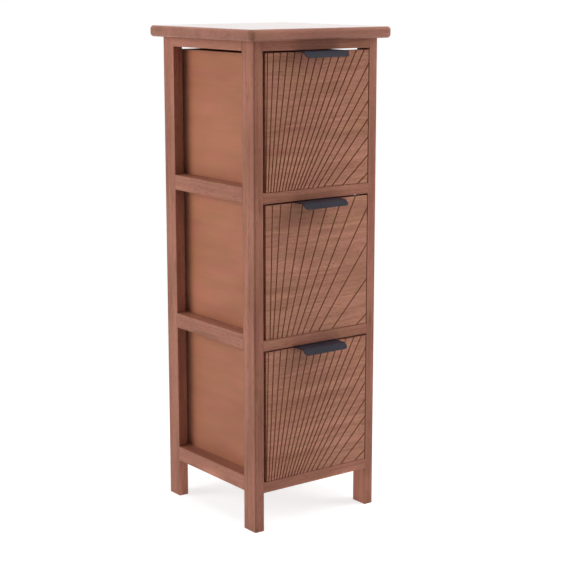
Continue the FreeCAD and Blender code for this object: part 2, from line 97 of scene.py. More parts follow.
# Tints that the stain leans to, and how much of the pores' colour cut fibres take on
RED_LEAN = (1.0, 0.96, 1.0, 1.0)
YELLOW_LEAN = (0.96, 1.0, 0.92, 1.0)
END_FACING = (0.7, 0.95)
END_DARKENING = 0.3

# Relief of the grain: fibres stand up and pores lie deep, where the lacquer is rougher
FIBRE_HEIGHT, PORE_HEIGHT = 0.4, -0.5
FIBRE_ROUGHNESS, PORE_ROUGHNESS = -0.05, 0.15
WOOD_RELIEF, BOX_RELIEF, GROOVE_RELIEF = 0.5, 0.1, 0.6
WOOD_RIDGE, GROOVE_RIDGE = 0.1 * MILLIMETRE, 0.2 * MILLIMETRE
BARE_ROUGHNESS = 0.7
TOP_FACING = (0.9, 0.99)

# Faces of a front that are walls of grooves: away from its rim, and sloping
GROOVE_RIM = 1.2 * MILLIMETRE
GROOVE_SLOPE = (0.3, 0.7)
GROOVE_DEEPENING = 0.8

# Powder coat and zinc plating
PEBBLES, DRIFTS, COAT_DETAIL = 1500, 40, 2
PEBBLE_PART, DRIFT_PART = 0.6, 0.4
PEBBLE_RELIEF, PEBBLE_RIDGE = 0.35, 0.05 * MILLIMETRE
COAT_ROUGHNESS = (0.52, 0.4)
COAT_SHEEN = 0.3
PLATING_PATCHES, PLATING_DETAIL = 700, 3
PLATING_ROUGHNESS = (0.45, 0.3)

# Rounding of the pulls' cut edges
EDGE_STEPS = 3
EDGE_ANGLE = math.radians(60)

WHITE = (1.0, 1.0, 1.0, 1.0)
SHADED_FLOOR = (0.45, 0.45, 0.45, 1.0)


# Properties that a user would change


def linear(screen):
    """A colour channel from 0 to 255 on screen, as a linear value by the sRGB curve."""
    part = screen / 255
    return part / 12.92 if part <= 0.04045 else ((part + 0.055) / 1.055) ** 2.4


def colour(name, description, *channels):
    """A colour whose default is written as it shows on screen, from 0 to 255."""
    return FloatVectorProperty(
        name=name,
        description=description,
        subtype="COLOR",
        size=3,
        min=0,
        max=1,
        default=[linear(channel) for channel in channels],
    )


def length(name, description, millimetres):
    return FloatProperty(
        name=name,
        description=description,
        default=millimetres * MILLIMETRE,
        min=0,
        subtype="DISTANCE",
        unit="LENGTH",
        precision=4,
    )


def place(name, description, *metres):
    return FloatVectorProperty(
        name=name,
        description=description,
        default=metres,
        subtype="TRANSLATION",
        unit="LENGTH",
    )


def share(name, description, default):
    return FloatProperty(
        name=name, description=description, default=default, min=0, max=1, subtype="FACTOR"
    )


def power(name, description, watts):
    return FloatProperty(
        name=name, description=description, default=watts, min=0, subtype="POWER", unit="POWER"
    )


def angle(name, description, degrees):
    return FloatProperty(
        name=name,
        description=description,
        default=math.radians(degrees),
        subtype="ANGLE",
        unit="ROTATION",
    )


class CabinetWood(bpy.types.PropertyGroup):
    """Stains of the wooden pieces."""

    frame_light: colour("Frame, light", "Light streaks of the frame and the board", 173, 117, 99)
    frame_dark: colour("Frame, dark", "Dark streaks of the frame and the board", 140, 91, 74)
    frame_pore: colour("Frame, pores", "Pores of the frame and the board", 108, 62, 45)
    front_light: colour("Fronts, light", "Light streaks of the drawer fronts", 189, 133, 111)
    front_dark: colour("Fronts, dark", "Dark streaks of the drawer fronts", 157, 107, 87)
    front_pore: colour("Fronts, pores", "Fine dashes in the drawer fronts", 118, 72, 54)
    # a darker colour than the front's, put on the sloping walls of the grooves
    groove: colour("Grooves", "Darker stain that gathers in the grooves", 152, 98, 76)
    box_light: colour("Boxes, light", "Light cloud of the drawer boxes", 180, 119, 93)
    box_dark: colour("Boxes, dark", "Dark cloud of the drawer boxes", 153, 97, 73)
    box_pore: colour("Boxes, pores", "Faint pores of the drawer boxes", 144, 88, 64)
    bare_light: colour("Bare wood, light", "Light streaks of the dowels", 203, 168, 132)
    bare_dark: colour("Bare wood, dark", "Dark streaks of the dowels", 174, 135, 100)
    bare_pore: colour("Bare wood, pores", "Pores of the dowels", 132, 96, 68)
    gloss: share("Roughness", "Roughness of the satin lacquer", 0.5)
    polish: share("Polish", "Roughness of the board's polished top", 0.08)
    sheen: share("Sheen", "Strength of the lacquer's reflections", 0.22)
    board_sheen: share("Board sheen", "Strength of the reflections of the board's lacquer", 0.5)


class CabinetPull(bpy.types.PropertyGroup):
    """The bent plate over the top edge of each front."""

    coat: colour("Coating", "Slate powder coat", 43, 42, 54)
    speck: colour("Coating, specks", "Darker grain of the powder coat", 33, 32, 41)
    plate: length("Plate", "Thickness of the plate", 1.5)
    lip_run: length("Lip run", "How far the lip reaches forwards past its bend", 10)
    lip_fall: length("Lip fall", "How far the lip drops below the flange", 9)
    lip_bend: length("Lip bend", "Radius outside the lip's bend", 5)
    lip_corner: length("Lip corner", "Radius of the lip's two corners", 6)
    tab_bend: length("Tab bend", "Radius outside the tab's bend", 1.6)
    tab_corner: length("Tab corner", "Radius of the tab's two corners", 4)
    edge: length("Edge", "Rounding of the plate's cut edges", 0.3)


class CabinetScrew(bpy.types.PropertyGroup):
    """Screws that hold the board, the runners and the pulls."""

    steel: colour("Steel", "Zinc-plated steel", 186, 184, 178)
    stain: colour("Steel, dull", "Dull patches of the plating", 148, 147, 143)
    head: length("Head", "Widest diameter of the head", 6.5)
    rise: length("Head height", "Height of the head", 2)
    shank: length("Shank", "Diameter of the shank", 3.5)
    slot_width: length("Slot width", "Width of the cross slot", 0.8)
    slot_length: length("Slot length", "Length of the cross slot", 3.6)
    slot_depth: length("Slot depth", "Depth of the cross slot", 1.1)
    place: share("Place", "Place of a screw along a rail, as a share from each end", 0.25)
    sides: IntProperty(name="Sides", description="Sides of a round head", default=24, min=8)


class CabinetStage(bpy.types.PropertyGroup):
    """Floor, lamps and camera."""

    floor: colour("Floor", "Pale floor", 236, 235, 233)
    floor_size: length("Floor size", "Width of the floor", 60000)
    floor_near: length("Lit floor", "Reach of the floor that takes light and shadow", 400)
    floor_far: length("White floor", "Reach past which the floor shows plain white", 1200)
    floor_glow: share("Floor white", "White that the camera sees on the floor besides its light", 0.76)
    ambient: share("Ambient", "Light from all round", 0.14)
    side_power: power("Side lamp", "Soft lamp at the left", 37)
    side_place: place("Side lamp place", "Centre of the lamp at the left", -1.95, 1.1, 0.95)
    side_size: place("Side lamp size", "Width and height of the lamp at the left", 1.4, 1.6, 0)
    front_power: power("Front lamp", "Soft lamp at the front right", 26)
    front_place: place("Front lamp place", "Centre of the lamp at the front right", 1.4, -0.92, 1.1)
    front_size: place("Front lamp size", "Width and height of the front lamp", 0.9, 1.6, 0)
    top_power: power("Overhead lamp", "Soft lamp above", 30)
    top_place: place("Overhead lamp place", "Centre of the lamp above", 0, 0, 2.6)
    top_size: place("Overhead lamp size", "Width and depth of the lamp above", 2, 2, 0)
    aim: place("Lamp aim", "Point that the large lamps face", 0, 0, 0.42)
    low_power: power("Low lamps", "Two narrow lamps that shine under the cabinet", 76)
    low_radius: length("Low lamp radius", "Radius of each low lamp", 15)
    low_cone: angle("Low lamp cone", "Width of the low lamps' beams, which fade to their edge", 4.6)
    low_front_place: place("Low front lamp place", "Centre of the low front lamp", 0.878, -1.08, 0.025)
    low_front_aim: place("Low front lamp aim", "Point by the rear left leg", -0.135, 0.1075, 0.03)
    low_side_place: place("Low side lamp place", "Centre of the low side lamp", -1.42, 0.595, 0.025)
    low_side_aim: place("Low side lamp aim", "Point on the front right leg", 0.1105, -0.111, 0.03)
    camera_place: place("Camera place", "Place of the camera", -1.5239, -2.0801, 0.9185)
    camera_turn: angle("Camera turn", "Turn of the camera to the right of straight ahead", 36.799)
    camera_dip: angle("Camera dip", "Tilt of the camera below the horizon", 11.606)
    focus: FloatProperty(
        name="Focal length", description="Focal length in widths of the image", default=2.6176, min=0
    )


# Node trees


class Tree:
    """A node tree whose nodes are added, set and linked in one call."""

    def __init__(self, tree):
        self.nodes = tree.nodes
        self.links = tree.links

    def add(self, kind, values=None, **settings):
        """A new node. A value is a socket to link or a plain value to set."""
        node = self.nodes.new(kind)
        for name, setting in settings.items():
            setattr(node, name, setting)
        for socket, value in (values or {}).items():
            self.feed(node.inputs[socket], value)
        return node

    def feed(self, socket, value):
        if isinstance(value, bpy.types.NodeSocket):
            self.links.new(value, socket)
        else:
            socket.default_value = value

    def calc(self, operation, *values):
        """A Math node's result."""
        inputs = dict(enumerate(values))
        return self.add("ShaderNodeMath", inputs, operation=operation).outputs[0]

    def stretch(self, vector, factors):
        """A vector times three factors."""
        inputs = {0: vector, 1: factors}
        return self.add("ShaderNodeVectorMath", inputs, operation="MULTIPLY").outputs[0]

    def noise(self, vector, detail):
        """Noise of unit scale at a vector, from 0 to 1."""
        inputs = {"Vector": vector, "Scale": 1.0, "Detail": detail}
        return self.add("ShaderNodeTexNoise", inputs).outputs["Fac"]

    def streaks(self, vector, along, across, detail):
        """Noise with so many marks per metre along X and across it."""
        return self.noise(self.stretch(vector, (along, across, across)), detail)

    def specks(self, vector, count, detail):
        """Noise with as many marks per metre every way."""
        return self.streaks(vector, count, count, detail)

    def bump(self, height, strength, ridge):
        """A normal that shows a height, as ridges of a size in metres."""
        inputs = {"Height": height, "Strength": strength, "Distance": ridge}
        return self.add("ShaderNodeBump", inputs).outputs[0]

    def remap(self, value, low, high, to_low=0.0, to_high=1.0):
        """A value moved from one range to another and held there."""
        inputs = {0: value, 1: low, 2: high, 3: to_low, 4: to_high}
        return self.add("ShaderNodeMapRange", inputs).outputs[0]

    def mix(self, factor, first, second, blend="MIX"):
        """Two colours mixed."""
        node = self.add("ShaderNodeMix", data_type="RGBA", blend_type=blend)
        for name, value in (("Factor_Float", factor), ("A_Color", first), ("B_Color", second)):
            socket = next(item for item in node.inputs if item.identifier == name)
            self.feed(socket, value)
        return next(item for item in node.outputs if item.identifier == "Result_Color")


def opaque(linear_colour):
    return (*linear_colour, 1.0)


def new_material(name):
    """A new material with an empty tree, and its tree."""
    material = bpy.data.materials.new(name)
    material.use_nodes = True
    material.node_tree.nodes.clear()
    return material, Tree(material.node_tree)


def show(tree, shader):
    """Ends a material's tree in its output."""
    tree.add("ShaderNodeOutputMaterial", {"Surface": shader.outputs[0]})


def show_surface(tree, inputs):
    """Ends a material's tree in a plain surface with these inputs."""
    show(tree, tree.add("ShaderNodeBsdfPrincipled", inputs))


def grain_group():
    """Wood grain along X at a place in metres: its colour and height."""
    group = bpy.data.node_groups.new("wood_grain", "ShaderNodeTree")
    sockets = group.interface
    sockets.new_socket("Place", in_out="INPUT", socket_type="NodeSocketVector")
    for name in ("Light", "Dark", "Pore"):
        sockets.new_socket(name, in_out="INPUT", socket_type="NodeSocketColor")
    for name in (*MARKS, "Facing"):
        sockets.new_socket(name, in_out="INPUT", socket_type="NodeSocketFloat")
    sockets.new_socket("Colour", in_out="OUTPUT", socket_type="NodeSocketColor")
    sockets.new_socket("Height", in_out="OUTPUT", socket_type="NodeSocketFloat")
    tree = Tree(group)
    given = tree.add("NodeGroupInput").outputs

    # the fibres waver from a straight line
    waver = {"Vector": given["Place"], "Scale": WAVER_SCALE, "Detail": WAVER_DETAIL}
    wander = tree.add("ShaderNodeTexNoise", waver)
    reach = tree.add("ShaderNodeCombineXYZ", {"Y": given["Waver"], "Z": given["Waver"]}).outputs[0]
    sway = tree.stretch(wander.outputs["Color"], reach)
    fibre_place = tree.add("ShaderNodeVectorMath", {0: given["Place"], 1: sway}, operation="ADD")
    along = fibre_place.outputs[0]
    patterns = {mark: tree.streaks(along, *counts) for mark, counts in GRAIN_MARKS.items()}

    tone = MIDDLE_TONE
    for mark in ("Clouds", "Bands", "Streaks", "Fibres"):
        swing = tree.calc("SUBTRACT", patterns[mark], MIDDLE_TONE)
        tone = tree.calc("ADD", tree.calc("MULTIPLY", swing, given[mark]), tone)
    stained = tree.mix(tree.remap(tone, 0.0, 1.0), given["Dark"], given["Light"])
    # the stain leans to red in some places and to yellow in others
    hue = tree.mix(tree.remap(patterns["Lean"], *FIRM_EDGE), RED_LEAN, YELLOW_LEAN)
    timber = tree.mix(1.0, stained, hue, "MULTIPLY")
    dashes = tree.calc("MULTIPLY", tree.remap(patterns["Pores"], *PORE_EDGE), given["Pores"])
    knot_place = tree.stretch(along, (KNOTS_ALONG, KNOTS_ACROSS, KNOTS_ACROSS))
    spots = tree.add("ShaderNodeTexVoronoi", {"Vector": knot_place, "Scale": 1.0})
    knots = tree.calc("MULTIPLY", tree.remap(spots.outputs["Distance"], *KNOT_EDGE), given["Knots"])
    pored = tree.mix(tree.calc("MAXIMUM", dashes, knots), timber, given["Pore"])
    # cut across, the fibres drink more stain
    thirst = tree.remap(given["Facing"], *END_FACING, 0.0, END_DARKENING)
    end_grain = tree.mix(thirst, pored, given["Pore"])
    ridges = tree.calc("MULTIPLY", patterns["Fibres"], FIBRE_HEIGHT)
    relief = tree.calc("SUBTRACT", ridges, dashes)
    tree.add("NodeGroupOutput", {"Colour": end_grain, "Height": relief})
    return group


def wood(name, grain, stains, finish, figure, relief=WOOD_RELIEF):
    """A stained and lacquered wood whose grain runs across, deep or upright."""
    gloss, polish, sheen = finish
    material, tree = new_material(name)
    spot = tree.add("ShaderNodeTexCoord").outputs
    turned = {"Rotation": GRAIN_TURNS[grain]}
    lengthwise = tree.add("ShaderNodeMapping", {"Vector": spot["Object"], **turned})
    normal = tree.add("ShaderNodeMapping", {"Vector": spot["Normal"], **turned}, vector_type="NORMAL")
    split = tree.add("ShaderNodeSeparateXYZ", {0: normal.outputs[0]}).outputs
    light, dark, pore = (opaque(stain) for stain in stains)
    marks = {
        "Place": lengthwise.outputs[0],
        "Light": light,
        "Dark": dark,
        "Pore": pore,
        **dict(zip(MARKS, FIGURES[figure])),
        "Facing": tree.calc("ABSOLUTE", split[0]),
    }
    grain_tree = bpy.data.node_groups.get("wood_grain") or grain_group()
    veins = tree.add("ShaderNodeGroup", node_tree=grain_tree)
    for socket, value in marks.items():
        tree.feed(veins.inputs[socket], value)
    height = veins.outputs["Height"]
    roughest, smoothest = gloss + PORE_ROUGHNESS, gloss + FIBRE_ROUGHNESS
    satin = tree.remap(height, PORE_HEIGHT, FIBRE_HEIGHT, roughest, smoothest)
    if polish < gloss:
        # a face that looks up is rubbed smooth
        upwards = tree.add("ShaderNodeSeparateXYZ", {0: spot["Normal"]}).outputs[2]
        satin = tree.calc("MULTIPLY", satin, tree.remap(upwards, *TOP_FACING, 1.0, polish / gloss))
        relief = tree.remap(upwards, *TOP_FACING, relief, 0.0)
    inputs = {
        "Base Color": veins.outputs["Colour"],
        "Roughness": satin,
        "Specular IOR Level": sheen,
        "Normal": tree.bump(height, relief, WOOD_RIDGE),
    }
    show_surface(tree, inputs)
    return material


def groove_stain(name, groove, sheen):
    """The bare cut of a groove, coloured darker than the front."""
    material, tree = new_material(name)
    spot = tree.add("ShaderNodeTexCoord").outputs["Object"]
    fibre = tree.streaks(spot, *GROOVE_FIBRES)
    deep = [channel * GROOVE_DEEPENING for channel in groove]
    inputs = {
        "Base Color": tree.mix(tree.remap(fibre, *SOFT_EDGE), opaque(deep), opaque(groove)),
        "Roughness": BARE_ROUGHNESS,
        "Specular IOR Level": sheen,
        "Normal": tree.bump(fibre, GROOVE_RELIEF, GROOVE_RIDGE),
    }
    show_surface(tree, inputs)
    return material


def powder_coat(name, coat, speck):
    """A finely pebbled powder coat."""
    material, tree = new_material(name)
    spot = tree.add("ShaderNodeTexCoord").outputs["Object"]
    pebble = tree.specks(spot, PEBBLES, COAT_DETAIL)
    drift = tree.specks(spot, DRIFTS, COAT_DETAIL)
    pebbled = tree.calc("MULTIPLY", pebble, PEBBLE_PART)
    tone = tree.calc("ADD", pebbled, tree.calc("MULTIPLY", drift, DRIFT_PART))
    inputs = {
        "Base Color": tree.mix(tree.remap(tone, *FIRM_EDGE), opaque(speck), opaque(coat)),
        "Roughness": tree.remap(pebble, *SOFT_EDGE, *COAT_ROUGHNESS),
        "Specular IOR Level": COAT_SHEEN,
        "Normal": tree.bump(pebble, PEBBLE_RELIEF, PEBBLE_RIDGE),
    }
    show_surface(tree, inputs)
    return material


def plated_steel(name, steel, dull):
    """Zinc plating with dull patches."""
    material, tree = new_material(name)
    spot = tree.add("ShaderNodeTexCoord").outputs["Object"]
    patch = tree.specks(spot, PLATING_PATCHES, PLATING_DETAIL)
    inputs = {
        "Base Color": tree.mix(tree.remap(patch, *FIRM_EDGE), opaque(dull), opaque(steel)),
        "Metallic": 1.0,
        "Roughness": tree.remap(patch, *SOFT_EDGE, *PLATING_ROUGHNESS),
    }
    show_surface(tree, inputs)
    return material


# Pieces


def dress(names, *materials):
    """Gives CAD nodes their materials, in the order of their slots."""
    for name in names:
        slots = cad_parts[name].data.materials
        slots.clear()
        for material in materials:
            slots.append(material)


def nodes_ending(ending, *starts):
    """Names of the CAD nodes with an ending and any of the starts."""
    return [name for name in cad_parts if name.endswith(ending) and name.startswith(starts or "")]


def new_piece(name, mesh, body, slot, *replaced):
    """A finished mesh as a piece that moves with a body and stands for CAD nodes."""
    piece = bpy.data.objects.new(name, mesh)
    bpy.context.scene.collection.objects.link(piece)
    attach(piece, body)
    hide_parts(*replaced)
    return piece


def settle(piece):
    """The piece's modifiers made part of its mesh."""
    evaluated = piece.evaluated_get(bpy.context.evaluated_depsgraph_get())
    mesh = bpy.data.meshes.new_from_object(evaluated)
    mesh.name = piece.name
    return mesh


class CABINET_OT_frame(bpy.types.Operator):
    """Stain the posts, rails, runners and board, each with grain along its length"""

    bl_idname = "cabinet.frame"
    bl_label = "Finish the frame"

    def execute(self, context):
        stains = context.scene.cabinet_wood
        shades = (stains.frame_light, stains.frame_dark, stains.frame_pore)
        finish = (stains.gloss, stains.gloss, stains.sheen)
        timber = {
            grain: wood(f"frame_timber_{grain}", grain, shades, finish, "frame")
            for grain in GRAIN_TURNS
        }
        dress(nodes_ending("_post"), timber["upright"])
        dress(nodes_ending("_rail", "left", "right") + nodes_ending("_runner"), timber["deep"])
        dress(nodes_ending("_rail", "front", "back"), timber["across"])
        polished = (stains.gloss, stains.polish, stains.board_sheen)
        dress(["top_board"], wood("board_timber", "across", shades, polished, "frame"))
        return {"FINISHED"}


class CABINET_OT_fronts(bpy.types.Operator):
    """Stain the drawer fronts, and their grooves darker"""

    bl_idname = "cabinet.fronts"
    bl_label = "Finish the fronts"

    def execute(self, context):
        stains = context.scene.cabinet_wood
        shades = (stains.front_light, stains.front_dark, stains.front_pore)
        finish = (stains.gloss, stains.gloss, stains.sheen)
        veneer = wood("front_veneer", "across", shades, finish, "front")
        cut = groove_stain("groove_stain", stains.groove, stains.sheen)
        names = [f"{drawer}_drawer_front" for drawer in DRAWERS]
        dress(names, veneer, cut)
        for name in names:
            self.stain_grooves(name)
        return {"FINISHED"}

    @staticmethod
    def stain_grooves(name):
        """Puts the second material on the sloping walls of the grooves."""
        low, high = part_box(name)
        flattest, steepest = GROOVE_SLOPE
        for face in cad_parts[name].data.polygons:
            spot = face.center
            inside = all(low[i] + GROOVE_RIM < spot[i] < high[i] - GROOVE_RIM for i in (0, 2))
            if inside and flattest < -face.normal.y < steepest:
                face.material_index = 1


class CABINET_OT_boxes(bpy.types.Operator):
    """Finish the drawer boxes and the dowels"""

    bl_idname = "cabinet.boxes"
    bl_label = "Finish the boxes"

    def execute(self, context):
        stains = context.scene.cabinet_wood
        smooth = (stains.box_light, stains.box_dark, stains.box_pore)
        bare = (stains.bare_light, stains.bare_dark, stains.bare_pore)
        finish = (stains.gloss, stains.gloss, stains.sheen)
        unfinished = (BARE_ROUGHNESS, BARE_ROUGHNESS, stains.sheen)
        box = {
            grain: wood(f"box_board_{grain}", grain, smooth, finish, "box", BOX_RELIEF)
            for grain in ("across", "deep")
        }
        raw = {
            grain: wood(f"bare_wood_{grain}", grain, bare, unfinished, "bare")
            for grain in ("across", "deep")
        }
        dress(nodes_ending("_side"), box["deep"])
        dress(nodes_ending("_drawer_back") + nodes_ending("_base"), box["across"])
        dress(nodes_ending("_frame_dowels"), raw["deep"])
        dress(nodes_ending("_rail_dowels") + nodes_ending("_drawer_dowels"), raw["across"])
        return {"FINISHED"}


class CABINET_OT_pulls(bpy.types.Operator):
    """Bend the plates that hook over the fronts"""

    bl_idname = "cabinet.pulls"
    bl_label = "Make the pulls"

    def execute(self, context):
        pull = context.scene.cabinet_pull
        coat = powder_coat("slate_powder_coat", pull.coat, pull.speck)
        for drawer in DRAWERS:
            node = f"{drawer}_drawer_handle"
            sheet = self.bent_sheet(pull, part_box(node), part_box(f"{drawer}_drawer_front"))
            plate = self.thicken(f"{drawer}_pull", sheet, pull)
            plate.materials.append(coat)
            new_piece(f"{drawer}_pull", plate, f"{drawer}_drawer", "handle_steel", node)
        return {"FINISHED"}

    @staticmethod
    def route(pull, handle_box, front_box):
        """The plate's middle line from the tab's foot to the lip's tip, as points of Y and Z."""
        low = handle_box[0]
        half = pull.plate / 2
        rear = front_box[1].y + half
        level = front_box[1].z + half
        slant = math.hypot(pull.lip_run, pull.lip_fall)
        ahead = Vector((-pull.lip_run, -pull.lip_fall)) / slant
        inwards = Vector((-ahead.y, ahead.x))
        tip = Vector((low.y, level + half - pull.lip_fall)) + inwards * half
        fold = tip - ahead * ((tip.y - level) / ahead.y)
        corners = [Vector((rear, low.z)), Vector((rear, level)), fold, tip]
        radii = [0, pull.tab_bend - half, pull.lip_bend - half, 0]
        return rounded_route(corners, radii)

    def bent_sheet(self, pull, handle_box, front_box):
        """A sheet without thickness along the route, its corners rounded."""
        path = Path(self.route(pull, handle_box, front_box))
        half_width = handle_box[1].x
        sheet = bmesh.new()
        first, last = pull.tab_corner, path.length - pull.lip_corner
        rows = [side_points(sheet, path, run, half_width) for run in path.stations(first, last)]
        for row, following in zip(rows, rows[1:]):
            sheet.faces.new((*row, *reversed(following)))
        # an end is one face, so that the rounding of its cut edge meets no other edge
        for (left, right), start, radius, ahead in (
            (rows[0], first, pull.tab_corner, -1),
            (rows[-1], last, pull.lip_corner, 1),
        ):
            bends = [
                side_points(sheet, path, start + ahead * run, half_width - inset)
                for run, inset in rounded_corner(radius)
            ]
            lefts = [left, *(bend[0] for bend in bends)]
            rights = [right, *(bend[1] for bend in bends)]
            sheet.faces.new((*lefts, *reversed(rights)))
        bmesh.ops.recalc_face_normals(sheet, faces=sheet.faces)
        return sheet

    @staticmethod
    def thicken(name, sheet, pull):
        """The sheet as a plate with rounded cut edges."""
        mesh = bpy.data.meshes.new(name)
        sheet.to_mesh(mesh)
        sheet.free()
        mesh.shade_smooth()
        draft = bpy.data.objects.new(name, mesh)
        bpy.context.scene.collection.objects.link(draft)
        solid = draft.modifiers.new("thickness", "SOLIDIFY")
        solid.thickness = pull.plate
        solid.offset = 0
        solid.use_even_offset = True
        round_off = draft.modifiers.new("cut_edges", "BEVEL")
        round_off.width = pull.edge
        round_off.segments = EDGE_STEPS
        round_off.limit_method = "ANGLE"
        round_off.angle_limit = EDGE_ANGLE
        round_off.harden_normals = True
        plate = settle(draft)
        bpy.data.objects.remove(draft)
        return plate


def rounded_route(corners, radii, steps=10):
    """The points of a line of corners, each rounded by its radius."""
    points = []
    for i, (corner, radius) in enumerate(zip(corners, radii)):
        if not radius:
            points.append(corner)
            continue
        back = (corners[i - 1] - corner).normalized()
        ahead = (corners[i + 1] - corner).normalized()
        half_turn = back.angle(ahead) / 2
        centre = corner + (back + ahead).normalized() * (radius / math.sin(half_turn))
        reach = radius / math.tan(half_turn)
        start = corner + back * reach - centre
        end = corner + ahead * reach - centre
        turn = start.angle_signed(end)
        for step in range(steps + 1):
            bend = -turn * step / steps
            cosine, sine = math.cos(bend), math.sin(bend)
            spoke = Vector((start.x * cosine - start.y * sine, start.x * sine + start.y * cosine))
            points.append(centre + spoke)
    return points


def rounded_corner(radius, steps=8):
    """Points round a corner from a side to an end, each as its run ahead and its inset."""
    turns = [math.pi / 2 * step / steps for step in range(1, steps + 1)]
    return [(radius * math.sin(turn), radius * (1 - math.cos(turn))) for turn in turns]


def side_points(sheet, path, run, reach):
    """New points at the left and the right of a sheet, at a distance along its route."""
    y, z = path.at(run)
    return [sheet.verts.new((side * reach, y, z)) for side in (-1, 1)]


class Path:
    """A line of points, followed by the distance along it."""

    def __init__(self, points):
        self.points = points
        self.runs = [0.0]
        for here, following in zip(points, points[1:]):
            self.runs.append(self.runs[-1] + (following - here).length)
        self.length = self.runs[-1]

    def stations(self, first, last):
        """Two distances along the line, and those of the points between them."""
        return [first, *(run for run in self.runs if first < run < last), last]

    def at(self, run):
        """The point at a distance along the line."""
        for i in range(len(self.points) - 1):
            if run <= self.runs[i + 1] or i == len(self.points) - 2:
                part = (run - self.runs[i]) / (self.runs[i + 1] - self.runs[i])
                return self.points[i].lerp(self.points[i + 1], part)


SCREW_SIZES = ("Top", "Foot", "Rise", "Level", "Shank", "Length", "Slot width", "Slot length", "Slot depth")


def screw_tree():
    """Geometry nodes that put a screw with a cross slot at each point, against its aim."""
    group = bpy.data.node_groups.new("cross_slot_screws", "GeometryNodeTree")
    sockets = group.interface
    sockets.new_socket("Geometry", in_out="INPUT", socket_type="NodeSocketGeometry")
    for name in SCREW_SIZES:
        sockets.new_socket(name, in_out="INPUT", socket_type="NodeSocketFloat")
    sockets.new_socket("Sides", in_out="INPUT", socket_type="NodeSocketInt")
    sockets.new_socket("Steel", in_out="INPUT", socket_type="NodeSocketMaterial")
    sockets.new_socket("Geometry", in_out="OUTPUT", socket_type="NodeSocketGeometry")
    tree = Tree(group)
    given = tree.add("NodeGroupInput").outputs

    head = tree.add(
        "GeometryNodeMeshCone",
        {
            "Vertices": given["Sides"],
            "Radius Top": tree.calc("DIVIDE", given["Top"], 2.0),
            "Radius Bottom": tree.calc("DIVIDE", given["Foot"], 2.0),
            "Depth": given["Rise"],
        },
    )
    foot_level = tree.calc("SUBTRACT", given["Level"], given["Rise"])
    head_up = tree.add("ShaderNodeCombineXYZ", {"Z": foot_level}).outputs[0]
    seated = tree.add("GeometryNodeTransform", {"Geometry": head.outputs["Mesh"], "Translation": head_up})

    slot_height = tree.calc("MULTIPLY", given["Slot depth"], 2.0)
    slot_up = tree.add("ShaderNodeCombineXYZ", {"Z": given["Level"]}).outputs[0]
    slots = []
    for width, run in (("Slot width", "Slot length"), ("Slot length", "Slot width")):
        size = tree.add("ShaderNodeCombineXYZ", {"X": given[width], "Y": given[run], "Z": slot_height})
        cutter = tree.add("GeometryNodeMeshCube", {"Size": size.outputs[0]})
        raised = {"Geometry": cutter.outputs["Mesh"], "Translation": slot_up}
        slots.append(tree.add("GeometryNodeTransform", raised).outputs[0])
    # the shank reaches halfway up inside the head
    overlap = tree.calc("DIVIDE", given["Rise"], 2.0)
    shank_length = tree.calc("ADD", given["Length"], overlap)
    shank = tree.add(
        "GeometryNodeMeshCylinder",
        {
            "Vertices": given["Sides"],
            "Radius": tree.calc("DIVIDE", given["Shank"], 2.0),
            "Depth": shank_length,
        },
    )
    shank_top = tree.calc("ADD", foot_level, overlap)
    shank_middle = tree.calc("SUBTRACT", shank_top, tree.calc("DIVIDE", shank_length, 2.0))
    shank_up = tree.add("ShaderNodeCombineXYZ", {"Z": shank_middle}).outputs[0]
    sunk = tree.add("GeometryNodeTransform", {"Geometry": shank.outputs["Mesh"], "Translation": shank_up})
    whole = tree.add("GeometryNodeMeshBoolean", operation="UNION", solver="EXACT")
    for part in (seated.outputs[0], sunk.outputs[0]):
        tree.feed(whole.inputs["Mesh 2"], part)
    solid = {"Mesh 1": whole.outputs["Mesh"]}
    cut = tree.add("GeometryNodeMeshBoolean", solid, operation="DIFFERENCE", solver="EXACT")
    for slot in slots:
        tree.feed(cut.inputs["Mesh 2"], slot)

    aim = tree.add("GeometryNodeInputNamedAttribute", {"Name": "aim"}, data_type="FLOAT_VECTOR")
    back = tree.stretch(aim.outputs["Attribute"], (-1.0, -1.0, -1.0))
    turned = tree.add("FunctionNodeAlignRotationToVector", {"Vector": back}, axis="Z")
    screws = tree.add(
        "GeometryNodeInstanceOnPoints",
        {
            "Points": given["Geometry"],
            "Instance": cut.outputs["Mesh"],
            "Rotation": turned.outputs[0],
        },
    )
    real = tree.add("GeometryNodeRealizeInstances", {"Geometry": screws.outputs[0]})
    coated = tree.add("GeometryNodeSetMaterial", {"Geometry": real.outputs[0], "Material": given["Steel"]})
    tree.add("NodeGroupOutput", {"Geometry": coated.outputs[0]})
    return group


